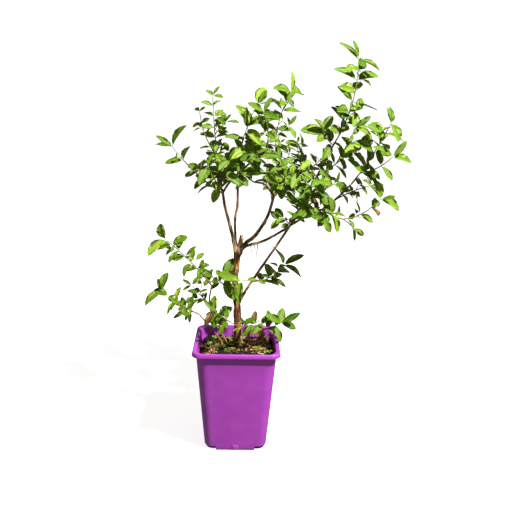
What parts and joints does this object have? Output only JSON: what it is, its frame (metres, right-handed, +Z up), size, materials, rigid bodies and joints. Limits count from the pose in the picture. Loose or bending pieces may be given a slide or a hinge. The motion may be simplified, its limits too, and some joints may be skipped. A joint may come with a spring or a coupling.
{
  "type": "potted honeyberry shrub",
  "caption": "Young honeyberry shrub with forking boughs, leafy shoots and basal stems, standing in soil in a tapered square nursery pot.",
  "frame": {"origin": "centre of the pot's flat underside, on the ground", "axes": "+Z up, -Y towards the picture's viewer, +X to the picture's right"},
  "size_m": [0.3712, 0.192, 0.6101],
  "materials": {
    "pot_plastic": "satin injection moulded polypropylene, violet",
    "peat": "moist dark peat with bark chips",
    "old_bark": "brown bark, peeling in strips",
    "young_bark": "smooth orange brown bark",
    "foliage": "green leaves with a slight sheen, on young twigs"
  },
  "bodies": {
    "root": {"basal_front": "young_bark", "basal_left_high": "young_bark", "basal_left_low": "young_bark", "basal_right": "young_bark", "base_front": "foliage", "base_left": "foliage", "base_right": "foliage", "cross_front": "foliage", "cross_top": "foliage", "fork_stub": "old_bark", "left_arm": "foliage", "left_back": "foliage", "left_bough": "old_bark", "left_cross_bough": "old_bark", "left_front": "foliage", "left_spire": "foliage", "low_left_front": "foliage", "low_left_inner": "foliage", "low_left_lower": "foliage", "low_left_twig": "old_bark", "low_left_upper": "foliage", "low_right_spray": "foliage", "mid_back": "foliage", "mid_bough": "old_bark", "mid_front": "foliage", "mid_left_bough": "old_bark", "mid_left_tops": "foliage", "mid_right_bough": "old_bark", "mid_right_tops": "foliage", "mid_spire": "foliage", "pot": "pot_plastic", "pruned_stem": "old_bark", "right_back": "foliage", "right_bough": "old_bark", "right_front": "foliage", "right_low": "foliage", "right_low_back": "foliage", "right_low_front": "foliage", "right_side": "foliage", "right_spire": "foliage", "right_tip": "foliage", "right_tip_small": "foliage", "right_under": "foliage", "right_upper_bough": "old_bark", "soil": "peat", "trunk": "old_bark", "trunk_twig_leaves": "foliage"}
  },
  "joints": []
}
